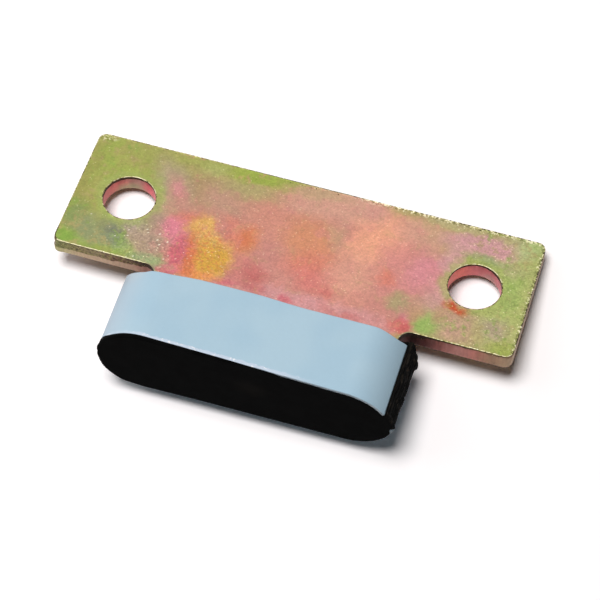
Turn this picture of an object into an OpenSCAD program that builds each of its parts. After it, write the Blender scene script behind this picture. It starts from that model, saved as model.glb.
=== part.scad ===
// Door slider: a punched steel plate whose tongue is moulded into a rubber block,
// with a thin low-friction liner bonded to each of the block's two running faces.
// The liners are alike, and the rear one is turned end for end.
// X runs along the plate, Y points from the block to the plate, +Z is the front.
// The origin lies midway between the bolt holes, on the plate's back face.

/* [Plate] */
// Length of the plate
plate_length = 80; // [74:0.5:110]
// Height of the plate, from its shoulders to its top edge
plate_height = 24.2; // [18:0.1:34]
// Thickness of the steel
plate_thickness = 3.2; // [2:0.1:5]
// Radius of the plate's outer corners
plate_corner_r = 1.5; // [0.5:0.1:4]
// Width of the edge that the punch rolled over, on the back
edge_roll = 0.3; // [0.1:0.05:0.5]

/* [Bolt holes] */
// Diameter of each bolt hole
hole_d = 9; // [6:0.1:11]
// Distance between the two bolt holes
hole_spacing = 61; // [50:0.5:64]
// Height of the bolt holes above the plate's shoulders
hole_height = 12.1; // [9:0.1:13]
// Depth of the torn zone below the front rim of a punched hole
torn_depth = 1.1; // [0.4:0.1:1.5]
// How far the torn zone widens the radius at the front rim
torn_flare = 0.15; // [0.05:0.01:0.4]

/* [Tongue] */
// Width of the tongue
tongue_width = 42.5; // [36:0.5:46]
// Radius where the tongue's sides meet the plate's shoulders
shoulder_r = 2; // [0.8:0.1:3]
// Length of tongue left bare between the plate and the block
neck_length = 4.3; // [3:0.1:8]
// Length of tongue moulded into the block
buried_length = 10; // [8:0.1:11]
// Radius of the buried corners
tongue_corner_r = 2; // [0.5:0.1:3]
// Diameter of the anchor holes that the rubber fills
anchor_d = 5; // [3:0.1:6]
// Distance between neighbouring anchor holes
anchor_pitch = 13; // [8:0.5:14]
// Number of anchor holes
anchor_count = 3; // [1:1:3]

/* [Block] */
// Length of the block from end to end
block_length = 50.8; // [48:0.1:60]
// Thickness of the block over both liners
block_thickness = 14.4; // [12:0.1:18]
// Height of the block at its two faces
block_height = 13.6; // [13:0.1:20]
// How much higher the block's top stands at the tongue than at its two faces
crown = 1.3; // [0:0.1:2]
// How far each end's arcs are struck from beyond the block's middle plane
end_stretch = 1.2; // [0:0.1:2]
// Width of the bevel along the block's lower rim
rim_bevel = 0.35; // [0.1:0.05:0.8]
// Shift of the block along the plate
block_shift = -0.2; // [-1:0.1:1]
// Angle by which the block sits askew to the plate
block_skew = 0.4; // [-1:0.1:1]
// Space left at the steel by the shrinking rubber
shrink_gap = 0.02; // [0.01:0.01:0.1]

/* [Liners] */
// Thickness of each liner
liner_thickness = 0.6; // [0.4:0.05:1.2]
// Thickness of the adhesive film under and around a liner
bond_gap = 0.05; // [0.02:0.01:0.15]
// Length of strip that wraps round the end where a liner reaches further
long_wrap = 11.1; // [6:0.1:11.4]
// Length of strip that wraps round the other end
short_wrap = 7.6; // [5:0.1:11]
// Height of the front liner's lower edge above the block's lower face, at its long wrap
front_rise_long = 0.8; // [0:0.1:2]
// Height of the front liner's lower edge above the block's lower face, at its short wrap
front_rise_short = -0.3; // [-0.5:0.1:2]
// Height of the rear liner's lower edge above the block's lower face, at its long wrap
rear_rise_long = 0.4; // [-0.5:0.1:2]
// Height of the rear liner's lower edge above the block's lower face, at its short wrap
rear_rise_short = 0.6; // [-0.5:0.1:2]

/* [End strips] */
// Height of the tallest rib on the bare rubber ends
rib_height = 0.35; // [0.1:0.05:0.6]
// Radius of a rib's crest
rib_r = 0.4; // [0.3:0.05:0.8]
// Distance between ribs round the end
rib_pitch = 0.9; // [0.7:0.1:2]

/* [Hidden] */
$fn = 96;
// Overrun that makes a cut pass clean through a surface
over = 1;

// Places in the plate's frame
shoulder_y = -hole_height;
plate_top_y = shoulder_y + plate_height;
plate_mid_y = shoulder_y + plate_height / 2;
block_top_y = shoulder_y - neck_length;
tongue_end_y = block_top_y - buried_length;
plate_mid_z = plate_thickness / 2;
anchor_y = block_top_y - buried_length / 2;

// Arcs of the block's ends: radius and place of the centre of the front arc
end_r = block_thickness / 2 + end_stretch;
arc_x = block_length / 2 - sqrt(end_r * end_r - end_stretch * end_stretch);
tip_angle = acos(end_stretch / end_r);
long_angle = arc_angle(long_wrap);
short_angle = arc_angle(short_wrap);

// Torn ribs differ: the lowest and shortest as a share of the largest, and a fixed draw of shares
rib_low = 0.45;
rib_short = 0.7;
rib_draw_count = 48;
rib_draw_seed = 11;
rib_draw = rands(0, 1, rib_draw_count, rib_draw_seed);

module mounting_plate() {
    color("#c9a06a") difference() {
        linear_extrude(plate_thickness) blank_outline();
        for (side = [-1, 1])
            translate([side * hole_spacing / 2, 0, 0]) punched_hole(hole_d);
        for (i = [0 : anchor_count - 1])
            translate([anchor_x(i), anchor_y, 0]) punched_hole(anchor_d);
        rolled_edges();
    }
}

module rubber_block() {
    color("#17181a") difference() {
        union() {
            difference() {
                place_block() block_body();
                tongue_pocket();
            }
            anchor_pegs();
        }
        place_block() liner_seat(front_rise_long, front_rise_short);
        place_block() turned() liner_seat(rear_rise_long, rear_rise_short);
    }
}

module front_liner() {
    color("#b0cbde") place_block() liner(front_rise_long, front_rise_short);
}

module rear_liner() {
    color("#b0cbde") place_block() turned() liner(rear_rise_long, rear_rise_short);
}

// Flat outline of the whole steel blank
module blank_outline() {
    difference() {
        union() {
            translate([-plate_length / 2, shoulder_y])
                rounded_bar(plate_length, plate_height, plate_corner_r);
            translate([-tongue_width / 2, tongue_end_y])
                rounded_bar(tongue_width, plate_mid_y - tongue_end_y, tongue_corner_r);
            for (side = [-1, 1])
                translate([side * (tongue_width + shoulder_r) / 2, shoulder_y - shoulder_r / 2])
                    square(shoulder_r, center = true);
        }
        for (side = [-1, 1])
            translate([side * (tongue_width / 2 + shoulder_r), shoulder_y - shoulder_r]) circle(shoulder_r);
    }
}

function anchor_x(i) = (i - (anchor_count - 1) / 2) * anchor_pitch;

// Bar with its lower left corner at the origin and all corners rounded
module rounded_bar(w, h, r) {
    translate([r, 0]) square([w - 2 * r, h]);
    translate([0, r]) square([w, h - 2 * r]);
    for (x = [r, w - r], y = [r, h - r])
        translate([x, y]) circle(r);
}

// Hole cut from the back: rolled rim, sheared wall, then a torn and wider zone at the front
module punched_hole(d) {
    translate([0, 0, -over]) cylinder(h = plate_thickness + 2 * over, d = d);
    cylinder(h = edge_roll, r1 = d / 2 + edge_roll, r2 = d / 2);
    translate([0, 0, plate_thickness - torn_depth])
        cylinder(h = torn_depth, r1 = d / 2, r2 = d / 2 + torn_flare);
}

// Everything that the rolled back edge takes off the blank
module rolled_edges() {
    inner_w = plate_length / 2 - plate_corner_r;
    // Top edge, both ends, both shoulders and both sides of the tongue
    edge_cut([0, plate_top_y], 90, 2 * inner_w);
    for (side = [-1, 1]) {
        facing = side > 0 ? 0 : 180;
        shoulder_start = tongue_width / 2 + shoulder_r;
        side_top = shoulder_y - shoulder_r;
        side_end = tongue_end_y + tongue_corner_r;
        edge_cut([side * plate_length / 2, plate_mid_y], facing, plate_height - 2 * plate_corner_r);
        edge_cut([side * (shoulder_start + inner_w) / 2, shoulder_y], -90, inner_w - shoulder_start);
        edge_cut([side * tongue_width / 2, (side_top + side_end) / 2], facing, side_top - side_end);
        for (y = [shoulder_y + plate_corner_r, plate_top_y - plate_corner_r])
            translate([side * inner_w, y]) corner_cut(plate_corner_r, side, y > plate_mid_y ? 1 : -1);
        translate([side * (tongue_width / 2 - tongue_corner_r), side_end])
            corner_cut(tongue_corner_r, side, -1);
        translate([side * shoulder_start, side_top]) fillet_cut(side);
    }
    edge_cut([0, tongue_end_y], -90, tongue_width - 2 * tongue_corner_r);
}

// Prism along a straight edge, centred on the given point, facing the given direction
module edge_cut(at, facing, length) {
    translate([at[0], at[1], 0]) rotate([0, 0, facing]) translate([0, length / 2, 0])
        rotate([90, 0, 0]) linear_extrude(length)
            polygon([[-edge_roll, 0], [0, edge_roll], [over, edge_roll], [over, -over], [-edge_roll, -over]]);
}

// Ring round an outer corner of radius r, kept to the corner's own quarter
module corner_cut(r, side_x, side_y) {
    start = side_x > 0 ? (side_y > 0 ? 0 : 270) : (side_y > 0 ? 90 : 180);
    rotate([0, 0, start]) rotate_extrude(angle = 90)
        polygon([
            [r - edge_roll, 0],
            [r, edge_roll],
            [r + over, edge_roll],
            [r + over, -over],
            [r - edge_roll, -over]
        ]);
}

// Cone that bevels the fillet between a shoulder and the tongue
module fillet_cut(side) {
    rotate([0, 0, side > 0 ? 90 : 0]) rotate_extrude(angle = 90)
        polygon([
            [0, -over],
            [shoulder_r + edge_roll, -over],
            [shoulder_r + edge_roll, 0],
            [shoulder_r, edge_roll],
            [0, edge_roll]
        ]);
}

// Moves the block from its own frame, faces up to y = 0 and centred in x and z, to the plate's
module place_block() {
    translate([block_shift, block_top_y - block_height / 2, plate_mid_z])
        rotate([0, 0, block_skew]) translate([0, block_height / 2, 0]) children();
}

// From the front of the block to its rear, end for end
module turned() {
    mirror([1, 0, 0]) mirror([0, 0, 1]) children();
}

// Angle that a length takes on the block's end arcs
function arc_angle(length) = length / end_r * 180 / PI;

// Prism of a section drawn in x and z, from y = top down by the given height
module prism(top, height) {
    translate([0, top, 0]) rotate([90, 0, 0]) linear_extrude(height) children();
}

// Section of the block, taken in by an inset all round
module block_section(inset) {
    r = end_r - inset;
    half = block_thickness / 2 - inset;
    translate([-arc_x, -half]) square([2 * arc_x, 2 * half]);
    for (side = [-1, 1])
        intersection() {
            translate([side * arc_x, -end_stretch]) circle(r);
            translate([side * arc_x, end_stretch]) circle(r);
        }
}

// Rubber body with a bevelled lower rim and ribbed ends, before the pocket and the seats are cut
module block_body() {
    difference() {
        union() {
            flat_bar();
            for (side = [-1, 1]) {
                intersection() {
                    end_drum(side, 1);
                    end_drum(side, -1);
                }
                end_ribs(side);
            }
        }
        above_top();
    }
}

// Everything above the block's top, which falls from the tongue to both faces
module above_top() {
    half = block_thickness / 2;
    ridge = plate_thickness / 2;
    translate([-block_length, 0, 0]) rotate([90, 0, 90]) linear_extrude(2 * block_length)
        polygon([
            [0, -2 * half],
            [0, -half],
            [crown, -ridge],
            [crown, ridge],
            [0, half],
            [0, 2 * half],
            [crown + 2 * over, 2 * half],
            [crown + 2 * over, -2 * half]
        ]);
}

// Height of the block's top over its faces, at a depth from the block's middle plane
function top_rise(z) =
    crown * min(1, (block_thickness / 2 - abs(z)) / (block_thickness / 2 - plate_thickness / 2));

// Straight length of the block between its end arcs
module flat_bar() {
    half = block_thickness / 2;
    translate([-arc_x, 0, 0]) rotate([90, 0, 90]) linear_extrude(2 * arc_x)
        polygon([
            [crown + over, -half],
            [rim_bevel - block_height, -half],
            [-block_height, rim_bevel - half],
            [-block_height, half - rim_bevel],
            [rim_bevel - block_height, half],
            [crown + over, half]
        ]);
}

// Drum with a bevelled lower rim at one end of the block, struck from the front or the rear arc's centre
module end_drum(side, face) {
    translate([side * arc_x, 0, -face * end_stretch])
        rotate([90, 0, 0]) rotate_extrude()
            polygon([
                [0, -crown - over],
                [end_r, -crown - over],
                [end_r, block_height - rim_bevel],
                [end_r - rim_bevel, block_height],
                [0, block_height]
            ]);
}

// Ribs along the bare rubber of one end, from its tip to the edges of the front and the rear liner
module end_ribs(side) {
    step = arc_angle(rib_pitch);
    for (face = [-1, 1]) {
        wrap = side * face > 0 ? short_angle : long_angle;
        first = face > 0 ? 0 : 1;
        for (i = [first : 1 : floor((tip_angle - wrap) / step)]) {
            draw = 4 * i + (side > 0 ? 2 : 0) + (face > 0 ? 1 : 0);
            crest = rib_height * rib_share(rib_low, draw);
            drop = (block_height - 2 * rim_bevel) * rib_share(rib_short, draw + 4);
            at = end_point(side, face, tip_angle - i * step, end_r - rib_r + crest);
            top = top_rise(at[1]) - rim_bevel;
            prism(top, top + drop) translate(at) circle(rib_r);
        }
    }
}

// Share between the given least one and 1, taken from the draw
function rib_share(least, index) = least + (1 - least) * rib_draw[index % rib_draw_count];

// Point at an angle round an end, seen from the front or the rear face
function end_point(side, face, angle, r) =
    [side * (arc_x + r * sin(angle)), face * (r * cos(angle) - end_stretch)];

// Space that the tongue takes in the rubber
module tongue_pocket() {
    wide = tongue_width + 2 * shrink_gap;
    translate([-wide / 2, tongue_end_y - shrink_gap, -shrink_gap])
        linear_extrude(plate_thickness + 2 * shrink_gap)
            union() {
                rounded_bar(wide, buried_length, tongue_corner_r + shrink_gap);
                translate([0, buried_length / 2])
                    square([wide, buried_length / 2 + crown + over + shrink_gap]);
            }
}

// Rubber that filled the anchor holes
module anchor_pegs() {
    for (i = [0 : anchor_count - 1])
        translate([anchor_x(i), anchor_y, 0]) punched_hole(anchor_d - 2 * shrink_gap);
}

// Everything in front of the block between the two radial cuts where a liner ends
module wrap_window(spare) {
    reach = 2 * end_r;
    right = arc_angle(short_wrap + spare);
    left = arc_angle(long_wrap + spare);
    polygon([
        [arc_x, -end_stretch],
        [arc_x + reach * sin(right), reach * cos(right) - end_stretch],
        [arc_x + reach, reach],
        [-arc_x - reach, reach],
        [-arc_x - reach * sin(left), reach * cos(left) - end_stretch],
        [-arc_x, -end_stretch]
    ]);
}

// Section of a strip along the front face: its depth, how far it stands out, and its spare length at each end
module strip_section(depth, proud, spare) {
    intersection() {
        difference() {
            block_section(-proud);
            block_section(depth);
        }
        wrap_window(spare);
    }
}

// Everything under a liner's lower edge, which rises unevenly from the long wrap to the short one
module below_liner(rise_long, rise_short, drop) {
    mid_rise = (rise_long + rise_short) / 2;
    slope = atan2(rise_short - rise_long, block_length);
    translate([0, mid_rise - block_height - drop, 0]) rotate([0, 0, slope])
        translate([-block_length, -block_height, -block_thickness])
            cube([2 * block_length, block_height, 2 * block_thickness]);
}

// One liner, as it lies on the front face with its long wrap at -X
module liner(rise_long, rise_short) {
    difference() {
        prism(crown + over, block_height + crown + 2 * over) strip_section(liner_thickness, 0, 0);
        below_liner(rise_long, rise_short, 0);
        above_top();
    }
}

// Space for a liner and its adhesive, cut into the rubber
module liner_seat(rise_long, rise_short) {
    difference() {
        prism(crown + over, block_height + crown + 2 * over)
            strip_section(liner_thickness + bond_gap, over, bond_gap);
        below_liner(rise_long, rise_short, bond_gap);
    }
}

mounting_plate();
rubber_block();
front_liner();
rear_liner();
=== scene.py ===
import math

import bmesh
import bpy
from mathutils import Euler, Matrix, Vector, noise
from mathutils.geometry import tessellate_polygon


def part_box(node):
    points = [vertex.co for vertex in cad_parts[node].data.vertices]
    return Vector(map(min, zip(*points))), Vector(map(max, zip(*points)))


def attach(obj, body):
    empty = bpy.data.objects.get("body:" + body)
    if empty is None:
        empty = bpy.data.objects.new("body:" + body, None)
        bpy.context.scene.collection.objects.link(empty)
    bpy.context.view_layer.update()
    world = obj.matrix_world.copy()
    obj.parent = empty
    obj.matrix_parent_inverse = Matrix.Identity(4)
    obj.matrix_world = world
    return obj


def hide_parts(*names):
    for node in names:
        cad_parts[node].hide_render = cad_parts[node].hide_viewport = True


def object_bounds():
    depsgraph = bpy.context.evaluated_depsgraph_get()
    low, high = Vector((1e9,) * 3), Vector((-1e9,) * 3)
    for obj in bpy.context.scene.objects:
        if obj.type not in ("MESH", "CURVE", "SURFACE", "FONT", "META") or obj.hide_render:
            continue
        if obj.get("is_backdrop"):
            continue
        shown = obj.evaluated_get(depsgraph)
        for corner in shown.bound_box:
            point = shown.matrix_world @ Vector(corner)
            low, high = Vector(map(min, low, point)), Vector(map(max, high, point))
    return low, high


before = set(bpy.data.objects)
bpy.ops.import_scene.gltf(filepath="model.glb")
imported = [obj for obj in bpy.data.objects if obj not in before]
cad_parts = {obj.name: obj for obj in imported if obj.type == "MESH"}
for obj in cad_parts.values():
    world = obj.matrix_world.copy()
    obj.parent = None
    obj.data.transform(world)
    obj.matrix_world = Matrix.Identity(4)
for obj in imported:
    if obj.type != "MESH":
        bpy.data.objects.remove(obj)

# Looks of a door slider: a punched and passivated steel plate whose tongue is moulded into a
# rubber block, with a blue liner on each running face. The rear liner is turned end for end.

CAD_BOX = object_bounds()

# Sizes, in millimetres
MM = 0.001
PLATE_LOW, PLATE_HIGH = (Vector(corner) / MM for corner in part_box("mounting_plate"))
PLATE_RIGHT, PLATE_TOP, PLATE_THICK = PLATE_HIGH
TONGUE_END = PLATE_LOW.y
SHOULDER = -12.1
TONGUE_SIDE = 21.25
CORNER_R = 1.5
SHOULDER_R = 2
TONGUE_R = 2
HOLE_X = 30.5
HOLE_R = 4.5
SHRINK_GAP = 0.02

BLOCK_HEIGHT = 13.6
# The looks stop this far above the solid's lower face, to keep inside its box
BOX_MARGIN = 0.003
BLOCK_LOW = BOX_MARGIN - BLOCK_HEIGHT
BLOCK_TOP = -16.4
CROWN = 1.3
BLOCK_HALF = 7.2
BLOCK_HALF_LENGTH = 25.4
BLOCK_SHIFT = -0.2
BLOCK_SKEW = math.radians(0.4)
END_STRETCH = 1.2
END_R = BLOCK_HALF + END_STRETCH
ARC_X = BLOCK_HALF_LENGTH - math.sqrt(END_R ** 2 - END_STRETCH ** 2)
TIP_ANGLE = math.acos(END_STRETCH / END_R)
RIM_BEVEL = 0.35

LINER_THICK = 0.6
BOND_GAP = 0.05
SEAT_DEPTH = LINER_THICK + BOND_GAP
LONG_WRAP = 11.1 / END_R
SHORT_WRAP = 7.6 / END_R
# Rise of each liner's lower edge over the block's lower face, at its long and short wrap
FRONT_RISE = (0.95, -0.3)
REAR_RISE = (0.4, 0.6)

# Spacing of the points along what is seen, along what is hidden, and round the block
OUTLINE_STEP, HIDDEN_STEP = 0.13, 0.8
CORNER_STEPS = 14
BARE_STEP, SEAT_ARC_STEP, SEAT_FLAT_STEP = 0.075, 0.5, 0.8
LINER_ARC_STEP, LINER_FLAT_STEP = 0.25, 0.3
SLOT_STEP = 0.5
UPPER_ROWS, LOWER_ROWS, LINER_ROWS = 104, 8, 22
# Points nearer to each other than this become one
MERGE = 0.0004


# Small helpers
def smooth(low, high, value):
    """0 below low, 1 above high, and an even curve between."""
    share = min(max((value - low) / (high - low), 0), 1)
    return share * share * (3 - 2 * share)


def within(start, full, fading, end, value):
    """1 from full to fading, and 0 before start and beyond end."""
    return smooth(start, full, value) * smooth(end, fading, value)


def rough(x, y, z, size, layers=3):
    """Noise from about -1 to 1, with features of the given size."""
    return noise.fractal(Vector((x, y, z)) / size, 1, 2, layers)


def bump_at(value, centre, half_width):
    """A rounded ridge, 1 at its centre and 0 beyond its half width."""
    return smooth(0, 1, 1 - abs(value - centre) / half_width)


def even_parts(start, end, parts):
    return [start + (end - start) * k / parts for k in range(parts + 1)]


def spread(start, end, size):
    """Even values from start to end, about size apart."""
    return even_parts(start, end, max(round(abs(end - start) / size), 1))


class Shell:
    """Points and faces of one piece, each face with the number of its material."""

    def __init__(self):
        self.points, self.faces, self.finishes, self.flat = [], [], [], []

    def ring(self, points):
        first = len(self.points)
        self.points.extend(points)
        return list(range(first, len(self.points)))

    def add_face(self, corners, finish, flat=True):
        self.faces.append(tuple(corners))
        self.finishes.append(finish)
        self.flat.append(flat)

    def bridge(self, ring_a, ring_b, finish, closed=True):
        count = len(ring_a)
        for i in range(count if closed else count - 1):
            j = (i + 1) % count
            self.add_face((ring_a[i], ring_a[j], ring_b[j], ring_b[i]), finish, flat=False)

    def sweep(self, columns, finish, closed=True):
        """Rings through the columns' points, row by row, with the faces between them."""
        rings = [self.ring([column[row] for column in columns]) for row in range(len(columns[0]))]
        for upper, lower in zip(rings, rings[1:]):
            self.bridge(upper, lower, finish, closed)
        return rings

    def cap(self, rings, finish, level=False):
        """Faces inside the first ring, round the others. Level rings are drawn in x and z."""
        order = [i for ring in rings for i in ring]
        loops = [[Vector(self.points[i]) for i in ring] for ring in rings]
        if level:
            loops = [[Vector((p.x, p.z, 0)) for p in loop] for loop in loops]
        for corners in tessellate_polygon(loops):
            self.add_face([order[c] for c in corners], finish)

    def build(self, name, materials):
        mesh = bpy.data.meshes.new(name)
        mesh.from_pydata([Vector(p) * MM for p in self.points], [], self.faces)
        for polygon, finish, flat in zip(mesh.polygons, self.finishes, self.flat):
            polygon.material_index = finish
            polygon.use_smooth = not flat
        for material in materials:
            mesh.materials.append(material)
        work = bmesh.new()
        work.from_mesh(mesh)
        bmesh.ops.remove_doubles(work, verts=work.verts, dist=MERGE * MM)
        bmesh.ops.dissolve_degenerate(work, edges=work.edges, dist=MERGE * MM)
        bmesh.ops.recalc_face_normals(work, faces=work.faces)
        work.to_mesh(mesh)
        work.free()
        return place_object(name, mesh)


def place_object(name, data):
    made = bpy.data.objects.new(name, data)
    bpy.context.scene.collection.objects.link(made)
    return made


# The plate's punched outline
def rounded_path(corners):
    """Points and outward normals round a right-angled outline of corners (x, y, radius)."""
    points, normals = [], []
    count = len(corners)
    for i in range(count):
        before, here, after = (Vector(corners[(i + k) % count][:2]) for k in (-1, 0, 1))
        radius = corners[i][2]
        into = (here - before).normalized()
        out = (after - here).normalized()
        turn = 1 if into.cross(out) > 0 else -1
        right = Vector((into.y, -into.x))
        centre = here - into * radius - right * radius * turn
        for k in range(CORNER_STEPS + 1):
            angle = turn * math.pi / 2 * k / CORNER_STEPS
            facing = Vector((
                right.x * math.cos(angle) - right.y * math.sin(angle),
                right.x * math.sin(angle) + right.y * math.cos(angle),
            ))
            points.append(centre + facing * radius * turn)
            normals.append(facing)
        start = here + out * radius
        end = after - out * corners[(i + 1) % count][2]
        side = Vector((out.y, -out.x))
        hidden = min(start.y, end.y) < BLOCK_TOP - 1 and start.y < SHOULDER
        spacing = HIDDEN_STEP if hidden and abs(out.x) > 0.5 else OUTLINE_STEP
        parts = max(int((end - start).length / spacing), 1)
        for k in range(1, parts):
            points.append(start.lerp(end, k / parts))
            normals.append(side)
    return points, normals


def hole_path(centre_x):
    """Points and normals round a bolt hole, the normals pointing into the open hole."""
    points, normals = [], []
    count = int(2 * math.pi * HOLE_R / OUTLINE_STEP)
    for k in range(count):
        angle = -2 * math.pi * k / count
        facing = Vector((math.cos(angle), math.sin(angle)))
        points.append(Vector((centre_x, 0)) + facing * HOLE_R)
        normals.append(-facing)
    return points, normals


FACE, BURR, TORN, SHEARED, FOOT = range(5)
LOW_LEFT_CORNER = Vector((-39.56, -11.66))
SWELL, SWELL_REACH = 0.3, 1.5
# Depth of the torn zone in a hole, what a break adds, and at the outline's left and right
HOLE_TORN, HOLE_BREAK, LEFT_TORN, RIGHT_TORN = 0.2, 0.26, 1.72, 0.26
LEAST_IN_HOLE, LEAST_OUTSIDE = 0.06, 0.1
# Where the torn zone of each hole is deepest
LEFT_BREAK = Vector((-0.75, 0.66))
RIGHT_BREAK = Vector((0.97, 0.26))


def torn_depth(x, y, in_hole):
    """How deep the torn zone runs below the front rim: deepest along the lower left edge."""
    if in_hole:
        away = Vector((x - math.copysign(HOLE_X, x), y)).normalized()
        broken = smooth(0.2, 1, away.dot(LEFT_BREAK if x < 0 else RIGHT_BREAK))
        depth = HOLE_TORN + HOLE_BREAK * broken + 0.1 * rough(x, y, 3, 0.9)
        return max(depth, LEAST_IN_HOLE)
    left = LEFT_TORN - 0.5 * smooth(-30, -25, x) - 0.35 * smooth(-25, -22.5, x)
    right = RIGHT_TORN + 0.65 * smooth(26.5, 24, x)
    depth = left + (right - left) * smooth(-10, 10, x)
    depth = depth + 0.2 * rough(x, y, 7, 1.1) + 0.12 * rough(x, y, 19, 0.4)
    return max(depth, LEAST_OUTSIDE)


def corner_swell(x, y):
    """How far the wall swells at the lower left corner, where the punch squeezed it out."""
    return SWELL * smooth(SWELL_REACH, 0, (Vector((x, y)) - LOW_LEFT_CORNER).length)


def punched_profile(x, y, in_hole):
    """Profile of a punched edge, front to back: (inset into the steel, height, finish below)."""
    top = PLATE_THICK
    fine = rough(x, y, 23, 0.34) * (0.4 if in_hole else 1)
    burr = max(0, 0.03 + 0.035 * rough(x, y, 11, 2.2) + 0.045 * fine)
    depth = torn_depth(x, y, in_hole)
    swell = corner_swell(x, y)

    def torn(k):
        ragged = 0.05 + 0.05 * rough(x, y, 31 + 5 * k, 0.3) + 0.04 * rough(x, y, 3 * k, 0.9)
        return max(ragged, 0) - 0.6 * swell

    nick = (0.02 if in_hole else 0.07) * max(0, rough(x, y, 41, 0.5))
    return [
        (0.62, top, FACE),
        (0.3, top, FACE),
        (0.2 + 0.07 * fine, top + 0.3 * burr, BURR),
        (0.11 + 0.05 * fine, top + burr, BURR),
        (0.03 + nick, top + 0.5 * burr - 0.02, BURR),
        (0.05 + nick - 0.3 * swell, top - 0.09, TORN),
        (torn(1), top - 0.12 - 0.22 * depth, TORN),
        (torn(2), top - 0.12 - 0.5 * depth, TORN),
        (torn(3), top - 0.12 - 0.78 * depth, TORN),
        (0.6 * torn(4), top - 0.12 - 0.96 * depth, TORN),
        (0.012 + 0.012 * rough(x, y, 2, 0.4) - swell, top - 0.18 - depth, SHEARED),
        (0.008 + 0.01 * rough(x, y, 4, 0.4) - swell, 0.46, SHEARED),
        (0.01 - swell, 0.18, SHEARED),
        (0.04 - swell, 0.07, FOOT),
        (0.12 - swell, 0.015, FOOT),
        (0.26 - swell, 0, FACE),
    ]


def add_punched_edge(shell, path, in_hole):
    """Sweeps the punched profile round a path, and gives its front and back rings."""
    points, normals = path
    profiles = [punched_profile(p.x, p.y, in_hole) for p in points]
    rings = []
    for row in range(len(profiles[0])):
        ring = []
        for p, n, profile in zip(points, normals, profiles):
            inset, height, _ = profile[row]
            place = p - n * max(inset, -corner_swell(p.x, p.y))
            ring.append((max(place.x, -PLATE_RIGHT), place.y, height))
        rings.append(shell.ring(ring))
    for row in range(len(rings) - 1):
        shell.bridge(rings[row], rings[row + 1], profiles[0][row][2])
    return rings[0], rings[-1]


def make_plate(materials):
    shell = Shell()
    right = [(TONGUE_SIDE, TONGUE_END, TONGUE_R), (TONGUE_SIDE, SHOULDER, SHOULDER_R),
             (PLATE_RIGHT, SHOULDER, CORNER_R), (PLATE_RIGHT, PLATE_TOP, CORNER_R)]
    left = [(-x, y, radius) for x, y, radius in reversed(right)]
    outline = rounded_path(left[1:] + right + left[:1])
    paths = ((outline, False), (hole_path(-HOLE_X), True), (hole_path(HOLE_X), True))
    fronts, backs = zip(*[add_punched_edge(shell, path, in_hole) for path, in_hole in paths])
    shell.cap(fronts, FACE)
    shell.cap(backs, FACE)
    return shell.build("mounting_plate_looks", materials)


# The block and its liners
def in_block(x, y, z):
    """A point of the block's own frame, where y runs from 0 at its top, in the plate's frame."""
    middle = y + BLOCK_HEIGHT / 2
    return (
        x * math.cos(BLOCK_SKEW) - middle * math.sin(BLOCK_SKEW) + BLOCK_SHIFT,
        x * math.sin(BLOCK_SKEW) + middle * math.cos(BLOCK_SKEW) + BLOCK_TOP - BLOCK_HEIGHT / 2,
        z + PLATE_THICK / 2,
    )


class Station:
    """A place round the block's section: side -1 or 1 on an end arc, 0 on a flat, at its x.

    The face is 1 at the front and -1 at the rear. A covered station lies under a liner."""

    def __init__(self, side, face, angle=0, covered=True, x=0):
        self.side, self.face, self.angle, self.covered = side, face, angle, covered
        self.facing = (side * math.sin(angle), face * math.cos(angle))
        self.centre = (side * ARC_X + x, -face * END_STRETCH)
        self.x = self.centre[0] + self.facing[0] * END_R

    def at(self, inset, y):
        """The point at an inset from the end arc or flat, at a height in the block's frame."""
        reach = END_R - inset - end_taper(self, y)
        x, z = (c + f * reach for c, f in zip(self.centre, self.facing))
        return in_block(x, y, z)


def top_rise(station, inset):
    """Height of the block's crowned top over its faces, at an inset from its outline."""
    depth = abs(station.centre[1] + station.facing[1] * (END_R - inset))
    return CROWN * min(1, (BLOCK_HALF - depth) / (BLOCK_HALF - PLATE_THICK / 2))


def wrap_of(side, face):
    return SHORT_WRAP if side * face > 0 else LONG_WRAP


def covered_stations(face, arc_step, flat_step):
    """Stations under one liner, from its long wrap to its short one."""
    arc = arc_step / END_R
    long_end = [Station(-face, face, a) for a in spread(wrap_of(-face, face), 0, arc)]
    flat = [Station(0, face, x=x) for x in spread(-face * ARC_X, face * ARC_X, flat_step)[1:-1]]
    return long_end + flat + [Station(face, face, a) for a in spread(0, wrap_of(face, face), arc)]


def block_stations():
    """All stations round the block's section: over the front to the right, back along the rear."""
    stations = []
    for face in (1, -1):
        before = spread(TIP_ANGLE, wrap_of(-face, face), BARE_STEP / END_R)[1:]
        after = spread(wrap_of(face, face), TIP_ANGLE, BARE_STEP / END_R)
        stations += [Station(-face, face, a, False) for a in before]
        stations += covered_stations(face, SEAT_ARC_STEP, SEAT_FLAT_STEP)
        stations += [Station(face, face, a, False) for a in after]
    return stations


def bare_length(station):
    """Length round the bare rubber of an end, from the edge of the front liner."""
    front_bare = TIP_ANGLE - wrap_of(station.side, 1)
    if station.face > 0:
        return (station.angle - wrap_of(station.side, 1)) * END_R
    return (front_bare + TIP_ANGLE - station.angle) * END_R


def liner_edge(station):
    """Height of a liner's lower edge in the block's frame."""
    x, face = station.x, station.face
    long_rise, short_rise = FRONT_RISE if face > 0 else REAR_RISE
    share = face * x / (2 * BLOCK_HALF_LENGTH) + 0.5
    end_rise = 0.5 * smooth(-23, -25.2, x) if face > 0 else 0
    return -BLOCK_HEIGHT + long_rise + (short_rise - long_rise) * share + end_rise


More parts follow.
